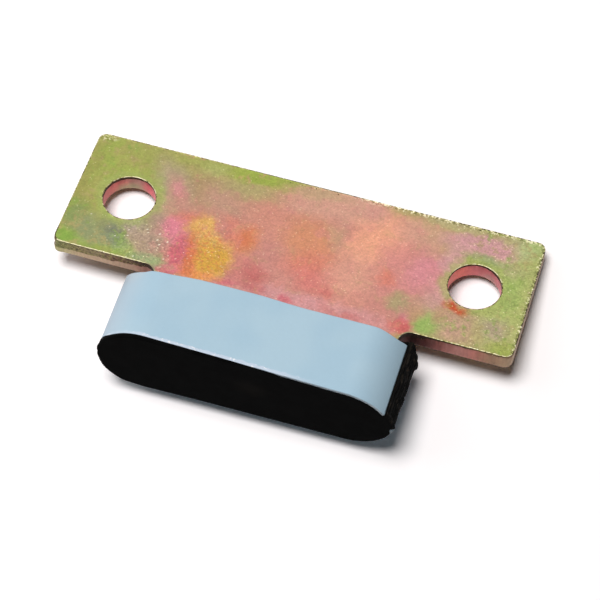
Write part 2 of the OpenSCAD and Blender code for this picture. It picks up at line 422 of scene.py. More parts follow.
# Torn furrows of the right end: place along the bare rubber, half width and depth
RIGHT_FURROWS = (
    (0.95, 0.2, 0.42), (1.7, 0.26, 0.24), (2.35, 0.22, 0.34), (3, 0.3, 0.22),
    (3.65, 0.22, 0.36), (4.3, 0.3, 0.26), (4.95, 0.24, 0.34), (5.6, 0.26, 0.26),
)
TOOTH_PITCH = 0.46


def torn_height(station, y):
    """How far the torn rubber of a bare end stands out of the end arc, mostly below 0."""
    along = bare_length(station)
    edge = smooth(0, 0.1, along)
    if station.side < 0:
        tooth = abs((along / TOOTH_PITCH) % 1 - 0.5) * 2
        ragged = 0.8 + 0.5 * rough(along, y * 0.25, 5, 0.8)
        low_end = 0.22 * smooth(-9, -13.2, y) * smooth(0.6, 2.2, along)
        teeth = 0.2 * edge * tooth * ragged
        return low_end - 0.12 - teeth + 0.05 * edge * rough(along, y, 9, 0.5)
    height = 0.02 + 0.06 * rough(along * 1.4, y, 29, 0.7)
    height -= 0.2 * within(-13.4, -12.8, -9.4, -8.2, y)
    for place, half_width, depth in RIGHT_FURROWS:
        wander = 0.14 * rough(place, y * 0.6, 17, 1.4)
        share = 0.55 + 0.75 * rough(place * 3.1, y, 2, 1.5)
        height -= max(depth * share, 0) * bump_at(along, place + wander, half_width)
    pitted = max(0, rough(along * 0.8, y, 37, 0.8) - 0.12)
    knob = 0.42 * bump_at(y, -0.75, 0.95) * smooth(1.6, 2.6, along)
    return edge * (height - 0.3 * smooth(1.2, 1.6, along) * pitted + knob)


CHIP_ANGLE = math.radians(72.8)


def chip_depth(station, y):
    """Rubber missing at the lower right corner of the rear, beside the rear liner's corner."""
    if station.side <= 0 or station.face > 0:
        return 0
    off = (station.angle - CHIP_ANGLE) * END_R
    bite = 0.1 * smooth(-2.8, -2, off) + 0.5 * smooth(-1.3, -0.3, off)
    return bite * smooth(0.75, 0.5, off) * smooth(BLOCK_LOW + 0.55, BLOCK_LOW + 0.38, y)


def end_taper(station, y):
    """How far the left end leans in towards its lower rim, less the swell of its corners."""
    if station.side >= 0:
        return 0
    lean = 0.16 * smooth(0, -BLOCK_HEIGHT, y) * math.sin(station.angle)
    lean *= smooth(-BLOCK_HEIGHT, -BLOCK_HEIGHT + 0.9, y)
    turn = math.degrees(station.angle)
    if station.face > 0:
        return lean - 0.18 * within(35, 60, 77, 81.8, turn)
    return lean - 0.52 * within(9, 31, 50, 76, turn) * smooth(-8.5, -13.2, y)


def top_stand(station):
    """How far the torn right end stands above the block's top."""
    if station.covered or station.side < 0:
        return 0
    along = bare_length(station)
    ragged = 1 + 0.5 * rough(along, 1, 6, 0.6)
    stand = 0.5 * within(0.1, 0.9, 2.1, 2.7, along)
    sink = 0.3 * within(2.2, 2.9, 4, 5.5, along)
    return (stand - sink) * ragged


def top_wave(station):
    """How far the front liner's top edge strays: up left of the middle, down at both ends."""
    if station.face < 0 or not station.covered:
        return 0
    x = station.x
    up = 0.4 * within(-18, -11, -3, 7, x)
    left = 0.33 * within(-25.3, -24.4, -21.6, -20, x)
    return up - left - 0.72 * smooth(18.3, 22.8, x)


def rubber_column(station):
    """Points down one station of the rubber, from the top to the lower rim."""
    bottom, covered = BLOCK_LOW, station.covered
    seat_end = max(liner_edge(station) - BOND_GAP, bottom + RIM_BEVEL * 0.2)
    lip = seat_end > bottom + RIM_BEVEL * 0.4
    seat = SEAT_DEPTH if covered else 0
    high = top_rise(station, seat) + top_stand(station) + top_wave(station)
    low_bevel = RIM_BEVEL * (0.35 if station.side < 0 and not covered else 1)
    if station.face < 0:
        low_bevel = min(low_bevel, RIM_BEVEL * (0.1 + 0.9 * smooth(-24, -6, station.x)))

    def at(y, inset):
        bevel = max(0, low_bevel - (y - bottom))
        if not covered:
            bevel += 0.4 * max(0, RIM_BEVEL - (high - y))
            return station.at(bevel - torn_height(station, y) + chip_depth(station, y), y)
        worn = 0.012 * rough(station.x * 0.5, y, 3 * station.face, 1.2) if inset == 0 else 0
        return station.at(max(inset, bevel) + max(worn, 0) + chip_depth(station, y), y)

    def down(start, end, rows, inset):
        return [at(y, inset) for y in even_parts(start, end, rows)]

    upper = down(high, seat_end, UPPER_ROWS, seat)
    return upper + down(seat_end, bottom, LOWER_ROWS, 0 if lip else seat)


def rounded_slot():
    """Outline of the tongue where it leaves the rubber, as places in x and z."""
    side, low, high = TONGUE_SIDE + SHRINK_GAP, -SHRINK_GAP, PLATE_THICK + SHRINK_GAP
    corners = [(-side, low), (-side, high), (side, high), (side, low)]
    points = []
    for (x0, z0), (x1, z1) in zip(corners, corners[1:] + corners[:1]):
        parts = max(int(max(abs(x1 - x0), abs(z1 - z0)) / SLOT_STEP), 1)
        points += [(x0 + (x1 - x0) * k / parts, z0 + (z1 - z0) * k / parts) for k in range(parts)]
    return points


# The rubber's lip round the tongue: distance from the steel, and height over the crown
SLOT_LIP = ((0.7, -0.02), (0.4, 0.1), (0.15, 0.16), (0, 0.05), (0, -1.5))
# Insets of the rubber's rim: its width, and how far in it starts at the bare ends
RIM_WIDTH, BARE_INSET = 0.35, 0.5
MOULDED, TORN_RUBBER = range(2)


def slot_ring(shell, away, y):
    """Ring round the tongue where it leaves the rubber, at a distance from the steel."""
    half = PLATE_THICK / 2
    return shell.ring([
        (x + math.copysign(away, x), y, z + away * (1 if z > half else -1))
        for x, z in rounded_slot()
    ])


def make_rubber(materials):
    shell = Shell()
    stations = block_stations()
    columns = [rubber_column(s) for s in stations]
    rings = shell.sweep(columns, MOULDED)
    bare = [not s.covered for s in stations]
    for row in range(len(rings) - 1):
        for i in range(len(stations)):
            if bare[i] and bare[(i + 1) % len(stations)]:
                shell.finishes[row * len(stations) + i] = TORN_RUBBER
    shell.add_face(rings[-1], MOULDED)

    lip_rings = [slot_ring(shell, away, BLOCK_TOP + CROWN + rise) for away, rise in SLOT_LIP]
    for outer, inner in zip(lip_rings, lip_rings[1:]):
        shell.bridge(outer, inner, MOULDED)
    shell.cap([lip_rings[-1]], MOULDED, level=True)
    rim = []
    for s in stations:
        inset = (SEAT_DEPTH if s.covered else BARE_INSET) + RIM_WIDTH
        rim.append(s.at(inset, top_rise(s, inset) + top_wave(s)))
    inner_rim = shell.ring(rim)
    shell.bridge(inner_rim, rings[0], MOULDED)
    shell.cap([inner_rim, lip_rings[0]], MOULDED, level=True)
    return shell.build("rubber_block_looks", materials)


LINER_FACE, LINER_CUT = range(2)
# How far the liner's surface lies within the solid's, so that its lip stays inside the box
LINER_SKIN = 0.07
# Distances of the rows near a liner's edges, and the width of its softened edge
EDGE_STEPS = (0, 0.03, 0.07, 0.12, 0.18, 0.25, 0.33, 0.42, 0.52, 0.65, 0.85, 1.15)
SOFT_EDGE, SOFTENING = 0.16, 3.5


def liner_rows(low, high):
    """Heights down a liner, close together at both edges."""
    upper, lower = [high - step for step in EDGE_STEPS], [low + step for step in EDGE_STEPS]
    return upper + even_parts(upper[-1], lower[-1], LINER_ROWS)[1:-1] + lower[::-1]


def lip_height(x, face):
    """Share of the raised lip that the cutting left along the lower edge of a liner."""
    lip = within(-21, -15, 0, 10, face * x)
    return max(lip * (0.65 + 0.6 * rough(x, 0, 12, 1.3)), 0)


def make_liner(name, face, materials):
    """A strip bent round the block, with soft edges and the lip that its cutting left."""
    shell = Shell()
    columns, inner_high, inner_low = [], [], []
    for s in covered_stations(face, LINER_ARC_STEP, LINER_FLAT_STEP):
        low = liner_edge(s) + 0.035 * rough(s.x, 2, 4 * face, 2.6)
        drop = 0.02 * rough(s.x, 8, 5 * face, 5) - 0.02 + top_wave(s)
        high = top_rise(s, 0) + drop
        lip = lip_height(s.x, face)
        column = []
        for y in liner_rows(low, high):
            wave = 0.012 * rough(s.x * 0.6, y, 6 * face, 4, 2)
            edges = (max(0, SOFT_EDGE - off) for off in (y - low, high - y))
            soft = sum(edge ** 2 * SOFTENING for edge in edges)
            raised = LINER_SKIN * lip * bump_at(y - low, 0.2, 0.36)
            column.append(s.at(max(LINER_SKIN + soft - raised - wave, 0), y))
        columns.append(column)
        inner_high.append(s.at(LINER_THICK, top_rise(s, LINER_THICK) + drop))
        inner_low.append(s.at(LINER_THICK, low))
    rings = shell.sweep(columns, LINER_FACE, closed=False)
    inner_high, inner_low = shell.ring(inner_high), shell.ring(inner_low)
    shell.bridge(rings[-1], inner_low, LINER_CUT, closed=False)
    shell.bridge(inner_low, inner_high, LINER_FACE, closed=False)
    shell.bridge(inner_high, rings[0], LINER_CUT, closed=False)
    for i in (0, -1):
        shell.add_face([ring[i] for ring in rings] + [inner_low[i], inner_high[i]], LINER_CUT)
    return shell.build(name, materials)


# Helpers for the materials
def tint(code):
    """Linear colour of a hex code as it looks on a screen."""
    shades = (int(code[i:i + 2], 16) / 255 for i in (0, 2, 4))
    return (*(s / 12.92 if s <= 0.04045 else ((s + 0.055) / 1.055) ** 2.4 for s in shades), 1)


def operation(how):
    return lambda first, second=None: maths(how, first, second)


class Value:
    """What a node gives out. Values can be added, multiplied, compared and so on."""

    __add__, __sub__, __mul__, __gt__, __or__, __abs__ = (operation(how) for how in (
        "ADD", "SUBTRACT", "MULTIPLY", "GREATER_THAN", "MAXIMUM", "ABSOLUTE"))

    def __init__(self, socket):
        self.socket = socket

    def __rsub__(self, other):
        return maths("SUBTRACT", other, self)

    def __rtruediv__(self, other):
        return maths("DIVIDE", other, self)

    def clamped(self):
        """The same value, kept from 0 to 1."""
        self.socket.node.use_clamp = True
        return self


class Node:
    """A node whose values are asked for by name or number."""

    def __init__(self, made):
        self.made = made

    def __getitem__(self, key):
        return Value(self.made.outputs[key])


def feed(socket, value):
    """Gives an input a value: another node's, a plain one or a hex code."""
    if isinstance(value, Value):
        value.socket.id_data.links.new(value.socket, socket)
    else:
        socket.default_value = tint(value) if isinstance(value, str) else value


def add(kind, inputs, tree=None, **settings):
    """A new node, in the given tree or in that of its inputs. An input of None stays as it is."""
    tree = tree or next(v.socket.id_data for v in inputs.values() if isinstance(v, Value))
    made = tree.nodes.new("ShaderNode" + kind)
    for name, value in settings.items():
        setattr(made, name, value)
    for name, value in inputs.items():
        if value is not None:
            feed(made.inputs[name], value)
    return Node(made)


def maths(how, first, second=None):
    return add("Math", {0: first, 1: second}, operation=how)[0]


def vectors(how, first, second=None, scale=None):
    """A sum of vectors, or a length or distance."""
    made = add("VectorMath", {0: first, 1: second, "Scale": scale}, operation=how)
    return made["Value" if how in ("LENGTH", "DISTANCE") else "Vector"]


def turned(place, angle):
    return add("VectorRotate", {"Vector": place, "Angle": angle}, rotation_type="Z_AXIS")[0]


def split(place):
    made = add("SeparateXYZ", {0: place})
    return made[0], made[1], made[2]


def blend(share, first, second, how="MIX"):
    """Colour between first and second by a share."""
    return add("Mix", {0: share, 6: first, 7: second}, data_type="RGBA", blend_type=how)[2]


def ease(value, low, high, to_low=0, to_high=1, curve="SMOOTHSTEP"):
    """A value eased from one range to another."""
    return add("MapRange", {
        "Value": value, "From Min": low, "From Max": high, "To Min": to_low, "To Max": to_high,
    }, interpolation_type=curve)[0]


def layered(colour, *layers):
    """A colour with others laid over it in turn, each layer a share and a colour."""
    for share, over in layers:
        colour = blend(share, colour, over)
    return colour


def in_steps(value, colour, *steps):
    """A colour that turns into that of each step (low, high, colour) in turn as a value rises."""
    return layered(colour, *((ease(value, low, high), over) for low, high, over in steps))


def along_plate(sideways, stops):
    """Colour that changes along the plate: stops of a place in x and a hex code."""
    share = ease(sideways, -PLATE_RIGHT, PLATE_RIGHT, curve="LINEAR")
    ramp = add("ValToRGB", {"Fac": share})
    marks = ramp.made.color_ramp.elements
    while len(marks) < len(stops):
        marks.new(1)
    for mark, (x, code) in zip(marks, stops):
        mark.position = (x + PLATE_RIGHT) / (2 * PLATE_RIGHT)
        mark.color = tint(code)
    return ramp[0]


def clouds_at(place, scale, detail=3, grain=0.55):
    """Noise from about 0.2 to 0.8, as Fac, and in three channels, as Color."""
    return add("TexNoise", {"Vector": place, "Scale": scale, "Detail": detail, "Roughness": grain})


def speckle(place, size, detail=3, grain=0.55):
    """Noise with features of the given size in millimetres."""
    return clouds_at(place, 1 / size, detail, grain)["Fac"]


# Groups of nodes that the materials share
ORIGIN, WHITE = (0, 0, 0), (1, 1, 1, 1)
# Half depth, in millimetres, of a patch that goes through the whole plate
THROUGH = 60
DARK_CENTRE, DARK_REACH = (-40, -10.7, 0), (1.5, 1)
# Where the dark flecks and pale painted glints of the far edge start in y and in x, and those of
# the right edge in x
FAR_EDGE, FAR_START, RIGHT_EDGE = (11.1, 11.7), (4, 10), (39.15, 39.6)
SOCKET_KINDS = {"VALUE": "Float", "VECTOR": "Vector", "RGBA": "Color"}


def plain_names(inputs):
    return {label.replace("_", " "): value for label, value in inputs.items()}


class Group:
    """A shared group of nodes. It is asked by name for what it is given, and gives its results."""

    def __init__(self, name, **inputs):
        self.tree = bpy.data.node_groups.new(name, "ShaderNodeTree")
        for label, value in plain_names(inputs).items():
            kind = {3: "Vector", 4: "Color"}[len(value)] if isinstance(value, tuple) else "Float"
            self.add_socket(label, "INPUT", kind).default_value = value
        self.given = Node(self.tree.nodes.new("NodeGroupInput"))

    def add_socket(self, label, way, kind):
        return self.tree.interface.new_socket(
            label, in_out=way, socket_type="NodeSocket" + kind)

    def __getitem__(self, label):
        return self.given[label]

    def give(self, **results):
        out = self.tree.nodes.new("NodeGroupOutput")
        for label, value in results.items():
            self.add_socket(label, "OUTPUT", SOCKET_KINDS[value.socket.type])
            feed(out.inputs[label], value)
        return self.tree


def use(shared, tree=None, **inputs):
    """Places a shared group, with values for its inputs by name."""
    return add("Group", plain_names(inputs), tree, node_tree=shared)


def patch(place, centre, half, softness=None, **inputs):
    """Mask and Colour of a soft patch. One without a depth goes through the whole plate."""
    return use(PATCH, Place=place, Centre=(*centre, 0)[:3], Half_Size=(*half, THROUGH)[:3],
               Softness=softness, **inputs)


def painted(colour, place, centre, half, shade, strength, softness, turn=0):
    """A colour with a soft patch of another over it, turned by some degrees."""
    return patch(place, centre, half, softness, Turn=math.radians(turn),
                 Colour=colour, Tint=shade, Strength=strength)["Colour"]


def shaded(colour, shade, amount):
    return use(SHADE, Colour=colour, Shade=shade, Amount=amount)["Colour"]


def frayed(place, size, reach):
    return use(RAGGED, Place=place, Size=size, Reach=reach)["Place"]


def zinc(place, size, glints):
    return use(GRAIN_AND_GLINTS, Place=place, Grain_Size=size, Glints=glints)


def place_in_mm():
    """Group: the object's own coordinates in millimetres."""
    group = Group("place in millimetres")
    spot = add("TexCoord", {}, group.tree)["Object"]
    return group.give(Place=vectors("SCALE", spot, scale=1 / MM))


def ragged_place():
    """Group: a place moved about by noise, so that what is drawn there gets ragged edges."""
    group = Group("ragged place", Place=ORIGIN, Size=5, Reach=2)
    wave = clouds_at(group["Place"], 1 / group["Size"], 3, 0.6)
    centred = vectors("SUBTRACT", wave["Color"], (0.5, 0.5, 0.5))
    moved = vectors("SCALE", centred, scale=group["Reach"] * 2)
    return group.give(Place=vectors("ADD", group["Place"], moved))


def soft_patch():
    """Group: lays a soft oval patch of a tint over a colour."""
    group = Group("soft patch", Colour=WHITE, Place=ORIGIN, Centre=ORIGIN, Half_Size=(5, 5, 50),
                  Turn=0, Softness=0.5, Tint=WHITE, Strength=1)
    away = turned(vectors("SUBTRACT", group["Place"], group["Centre"]), group["Turn"])
    length = vectors("LENGTH", vectors("DIVIDE", away, group["Half Size"]))
    soft = group["Softness"]
    mask = (ease(length, 1 - soft, soft + 1, 1, 0) * group["Strength"]).clamped()
    return group.give(Colour=blend(mask, group["Colour"], group["Tint"]), Mask=mask)


def zinc_grain_and_glints():
    """Group: fine crystal grain of zinc plating, painted glints on it, and its height."""
    group = Group("zinc grain", Place=ORIGIN, Grain_Size=0.3, Glints=0.03)
    scale = 1 / group["Grain Size"]
    fine = clouds_at(group["Place"], scale, 4, 0.7)["Fac"]
    cells = add("TexVoronoi", {"Vector": group["Place"], "Scale": scale})
    draw = add("SeparateColor", {0: cells["Color"]})[0]
    chosen = draw > 1 - group["Glints"]
    return group.give(
        Shade=fine * 0.65 + draw * 0.35,
        # Glint: a few grain cells that the materials draw pale, as painted glints
        Glint=chosen * ease(cells["Distance"], 0.45, 0.15),
        Height=fine * 0.7 + draw * 0.3)


def shade_colour():
    """Group: darkens and lightens a colour by a shade between about 0.2 and 0.8."""
    group = Group("shade colour", Colour=WHITE, Shade=0.5, Amount=0.2)
    change = (group["Shade"] - 0.5) * group["Amount"] + 1
    grey = add("CombineColor", {0: change, 1: change, 2: change})[0]
    return group.give(Colour=blend(1, group["Colour"], grey, "MULTIPLY"))


def near_hole():
    """Group: 1 on and inside the rims of the bolt holes, 0 elsewhere."""
    group = Group("near a bolt hole", Place=ORIGIN, Near=HOLE_R + 0.6, Far=HOLE_R + 1.2)
    x, y, _ = split(group["Place"])
    spot = add("CombineXYZ", {0: abs(x) - HOLE_X, 1: y})[0]
    return group.give(Mask=ease(vectors("LENGTH", spot), group["Far"], group["Near"]))


def dark_corner():
    """Group: 1 near the plate's lower left corner, 0 elsewhere."""
    group = Group("dark corner arc", Place=ORIGIN)
    flat = vectors("MULTIPLY", group["Place"], (1, 1, 0))
    return group.give(Mask=ease(vectors("DISTANCE", flat, DARK_CENTRE), *DARK_REACH))


def rim_flecks_and_glints():
    """Group: dark flecks, and pale flecks that are painted glints, along the far edge, the right
    edge and the far left corner.
    """
    group = Group("rim flecks", Place=ORIGIN)
    place = group["Place"]
    x, y, _ = split(place)
    right = ease(x, *RIGHT_EDGE)
    far = ease(y, *FAR_EDGE) * ease(x, *FAR_START)
    band = far | right | patch(place, (-38.6, 11.6), (1.8, 1))["Mask"] * 0.7
    fewer = speckle(place, 0.42, 2, 0.6) - right * 0.06
    # Pale gives the painted glints and Dark the dark flecks
    return group.give(Pale=band * ease(fewer, 0.53, 0.61), Dark=band * ease(fewer, 0.46, 0.38))


PLACE = place_in_mm()
RAGGED = ragged_place()
PATCH = soft_patch()
GRAIN_AND_GLINTS = zinc_grain_and_glints()
SHADE = shade_colour()
NEAR_HOLE = near_hole()
DARK_CORNER = dark_corner()
RIM_FLECKS_AND_GLINTS = rim_flecks_and_glints()


class Finish:
    """A material with a Principled shader, its plain values and its place in millimetres."""

    def __init__(self, name, **plain):
        self.material = bpy.data.materials.new(name)
        self.material.use_nodes = True
        tree = self.material.node_tree
        self.inputs = tree.nodes["Principled BSDF"].inputs
        for label, value in plain_names(plain).items():
            feed(self.inputs[label], value)
        self.place = use(PLACE, tree)["Place"]

    def close(self, colour, height, strength, depth):
        """Sets the colour and a bump whose depth is in millimetres, and gives the material."""
        bump = add("Bump", {"Height": height, "Strength": strength, "Distance": depth * MM})[0]
        feed(self.inputs["Base Color"], colour)
        feed(self.inputs["Normal"], bump)
        return self.material


# Tints of the passivation, chosen to render like the photo's colours at their places
OLIVE = "939c49"
OLIVE_DULL = "999750"
OLIVE_PALE = "a3a864"
GRASS = "7f9742"
LEAF = "90a03e"
FERN = "8aa354"
MOSS = "8c9a6c"
KHAKI = "a3925f"
STRAW = "b2a27c"
TAN = "aa9270"
MAUVE = "a68f7c"
UMBER = "a0865f"
FAWN = "b08872"
SALMON = "c08370"
BLUSH = "c4937f"
CLAY = "c4845f"
BRICK = "c67562"
PEACH = "db9a7c"
ROSE = "ca837c"
PINK = "cb838a"
LILAC = "c49092"
DUSTY = "bb7f73"
GOLD = "c1943b"
AMBER = "cda058"
MAGENTA = "cb7885"
CRIMSON = "bb5d67"
EMBER = "c46843"
RUST = "b44c28"
GARNET = "ae5b58"
CORAL = "b85a56"
SLATE = "6f7460"
GRASS_DEEP = "72983a"
SEDGE = "848a60"
SAGE = "9c8d66"
HALO = "97a257"
LILAC_DEEP = "b87068"
ROSE_DEEP = "c67068"
EMBER_PALE = "cf8a48"
FERN_PALE = "a7b67a"
BRASS = "918a4a"
HEATHER = "ba8a80"
ASH = "a08c8a"
BLOSSOM = "c48e90"
APRICOT = "cd957f"
REED = "7a884e"
HAY = "a19763"
SAND = "b49775"
NUT = "ab8763"
LINEN = "a8a072"
CLOVE = "9c8272"

# Patches laid one over the other: x, y, half width, half height, tint, strength, softness
# and, for one that is turned, the degrees
FACE_PATCHES = (
    (1.5, -3.4, 28, 14.4, DUSTY, 1, 0.14), (-24.6, -4, 2.6, 8, TAN, 0.9, 0.5),
    (30, -8, 9, 5, TAN, 0.85, 0.5), (36.8, 1, 4.8, 13, OLIVE_PALE, 1, 0.35),
    (-13, 12.2, 18, 4.4, KHAKI, 1, 0.4, -4), (-27, 10.5, 5, 2.4, OLIVE, 0.6, 0.7),
    (-10.5, 11.4, 7, 2.6, LEAF, 0.9, 0.6, -4), (-20, 11.6, 4, 1.6, OLIVE, 0.6, 0.6, -4),
    (-19, 5.4, 4.4, 3.6, UMBER, 0.95, 0.6), (-24.2, 5.4, 2.4, 4.6, MAUVE, 0.8, 0.8, -40),
    (-22.8, 3.4, 1.5, 3.2, DUSTY, 0.75, 0.9, -30), (-23.1, 4.4, 1, 1.4, PINK, 0.5, 0.9, -30),
    (-22.4, -0.2, 1.4, 1.6, FAWN, 0.7, 0.8), (-13, 4.5, 5.5, 3.4, FAWN, 0.9, 0.6),
    (-16, 4.6, 1.8, 2, FAWN, 0.7, 0.8), (-5, 3.5, 6, 4.4, SALMON, 0.9, 0.6, 10),
    (0.5, 8, 6, 2.6, BLUSH, 0.8, 0.6), (2, 0.5, 5, 4.4, CLAY, 0.85, 0.6, 30),
    (3, -4, 4, 2.6, BRICK, 0.8, 0.7, -20), (8.5, 9.6, 9, 3.2, BLUSH, 0.95, 0.5, 3),
    (13, 6.6, 4.6, 4.6, PEACH, 0.95, 0.6, 20), (11, 1.6, 3.4, 3.4, PEACH, 0.85, 0.6, -30),
    (6.2, 1.4, 1.6, 1.8, FAWN, 0.5, 0.8), (17, 1, 2.8, 6, ROSE, 0.6, 0.7),
    (15.8, -3, 1.8, 1.4, BRICK, 0.9, 0.8, 30), (21.6, 0.6, 2.4, 4.4, PINK, 0.8, 0.7, 20),
    (20.5, 8, 5, 3, BLUSH, 0.8, 0.6), (30, 8.5, 6.6, 2.5, LILAC, 0.95, 0.5, -3),
    (16.5, 12, 3.5, 1.6, KHAKI, 0.6, 0.7), (24, 12, 6, 1.5, STRAW, 0.7, 0.6),
    (31.6, 5.6, 3.2, 0.9, MOSS, 0.8, 0.8), (36.3, 1.5, 1.6, 6.5, FERN, 0.6, 0.8),
    (25.4, -3.5, 2.6, 3.4, LILAC, 0.55, 0.7), (26.2, 4.6, 1.6, 3, LILAC, 0.8, 0.7),
    (10, -10, 9, 3, DUSTY, 0.7, 0.6), (9, -8.6, 4, 2, LILAC_DEEP, 0.7, 0.7),
    (5, -7, 3.6, 2.2, ROSE_DEEP, 0.7, 0.7, 10), (10.2, -5, 3.6, 5.2, APRICOT, 0.75, 0.8),
    (4, -11.7, 15, 1.4, BLOSSOM, 0.7, 0.7), (7.2, -8.8, 1.1, 0.8, CORAL, 0.5, 0.9, 40),
    (-7, -9, 3.4, 3, LILAC_DEEP, 0.85, 0.6), (-5.2, -8.6, 1.9, 1.4, GARNET, 0.7, 0.8, 40),
    (-4.6, -11.6, 2, 0.9, GARNET, 0.7, 0.8), (1.6, -11.8, 1.4, 0.7, CRIMSON, 0.9, 0.8),
    (-9.4, -11.8, 1.6, 0.8, CRIMSON, 0.8, 0.8), (11.6, -12, 2.4, 0.6, CORAL, 0.5, 0.8),
    (-8.8, -3, 2.2, 3, CLAY, 0.9, 0.7, 15), (-8.8, -2.6, 1.6, 2.2, EMBER, 0.7, 0.9, 10),
    (-11.6, 0.6, 2, 1.2, BRICK, 0.6, 0.8), (-18.6, -1.6, 2.6, 1.8, EMBER, 0.6, 0.8),
    (-16.8, -2.2, 2.2, 2.6, AMBER, 1, 0.6, 20), (-13.6, -5.4, 3, 2.6, AMBER, 1, 0.5, 15),
    (-12.8, -8.2, 2.8, 3.4, GOLD, 1, 0.5), (-15, -8.6, 1.6, 3.4, GOLD, 0.9, 0.7),
    (-16.8, -8, 1, 3.6, EMBER, 0.85, 0.7, -8), (-21.6, -3.6, 2.5, 2, MAGENTA, 0.95, 0.6, -30),
    (-19.6, -6.4, 1.5, 2.2, MAGENTA, 0.8, 0.7, -30), (-19, -5.8, 1.2, 1.4, CRIMSON, 0.6, 0.8),
    (-18.9, -9.2, 1.5, 3.2, CRIMSON, 0.95, 0.5, 4), (-14.6, -11.6, 3.6, 1, EMBER_PALE, 0.9, 0.6),
    (-17, -11.6, 1.4, 1, EMBER, 0.8, 0.7), (-26.4, -7, 4, 2.2, MAUVE, 0.8, 0.7, 10),
    (-35.4, -7.6, 3, 2.6, SEDGE, 0.9, 0.8), (-38.6, -11.2, 2, 1.8, GRASS_DEEP, 0.75, 0.8),
    (-32, -11.3, 7, 1.1, GRASS, 0.45, 0.6), (-22.6, -12.9, 2.6, 1, MAUVE, 0.9, 0.6),
    (-19.6, -13, 1.6, 1.2, CRIMSON, 0.8, 0.6), (22, -12.9, 1.8, 0.9, CORAL, 0.8, 0.6),
    (-23.6, -11.2, 3.4, 1.5, MOSS, 0.9, 0.6), (-30.8, -7.5, 1.7, 2.3, SLATE, 0.9, 0.7, -10),
    (28.5, -8.8, 3.2, 2.6, HEATHER, 0.55, 0.7), (25, -9.8, 2.2, 2.4, FERN, 0.95, 0.6, 20),
    (19.4, -7, 1.9, 1.5, SAGE, 0.9, 0.7), (21.2, -11.2, 1.9, 1.6, CORAL, 1, 0.5),
    (21.2, -9.2, 1, 1.2, MAGENTA, 0.7, 0.8), (28.6, -5.2, 1.9, 1, RUST, 1, 0.7, 10),
    (36, -7.6, 2.4, 2.2, MAUVE, 0.8, 0.7), (38.4, -10.6, 2.6, 2, OLIVE, 0.8, 0.6),
    (37.3, 10.1, 2.2, 1.8, FERN_PALE, 0.75, 0.8), (10.4, 9.4, 2.6, 2.2, HEATHER, 0.6, 0.8),
    (-39.2, 2, 1.2, 6, BRASS, 0.7, 0.8), (-37, -3, 2.2, 2.4, BRASS, 0.5, 0.8),
    (-28.2, -5, 1.8, 1.4, ASH, 0.55, 0.8), (-38.2, -5.6, 1.6, 2.6, REED, 0.9, 0.7),
    (-34, -9, 2.6, 1.6, SEDGE, 0.8, 0.8), (-29.6, -9.4, 2.4, 1.3, MOSS, 0.75, 0.8),
    (-30.6, -9.2, 1.6, 1.2, SLATE, 0.5, 0.8), (-25.8, -4.4, 1.3, 1.4, SEDGE, 0.4, 0.8),
    (-24.5, -3, 1.6, 2.2, CLOVE, 0.7, 0.8), (7.8, -11.5, 1.4, 0.9, LILAC_DEEP, 0.5, 0.8),
    (-23.4, -8, 2, 2.2, CLOVE, 0.6, 0.8), (-18.9, -11.6, 1.1, 1, MAGENTA, 0.6, 0.8),
    (-11.2, -2.8, 1.4, 2.2, BRICK, 0.6, 0.8), (-18.6, 10, 2.2, 1.4, OLIVE_PALE, 0.6, 0.8),
    (-11.6, 7.5, 5, 1.7, HAY, 0.85, 0.7), (0.8, 10.6, 4, 1.2, SAND, 0.8, 0.7),
    (5.2, 3.4, 1.6, 1.8, SAND, 0.5, 0.8), (22.3, -8.7, 1.3, 1.2, NUT, 0.8, 0.8),
    (26.6, -7, 1.4, 1.1, NUT, 0.6, 0.8), (19.9, -11.5, 1.1, 1, ROSE_DEEP, 0.7, 0.8),
    (24.6, 3.2, 1.3, 1.7, LILAC, 0.6, 0.8), (35.6, 5.2, 2.2, 1.6, LINEN, 0.8, 0.8),
    (34.2, 7.7, 1.5, 1, LILAC, 0.5, 0.8), (34.2, 10.6, 1.8, 1.1, LINEN, 0.8, 0.8),
)


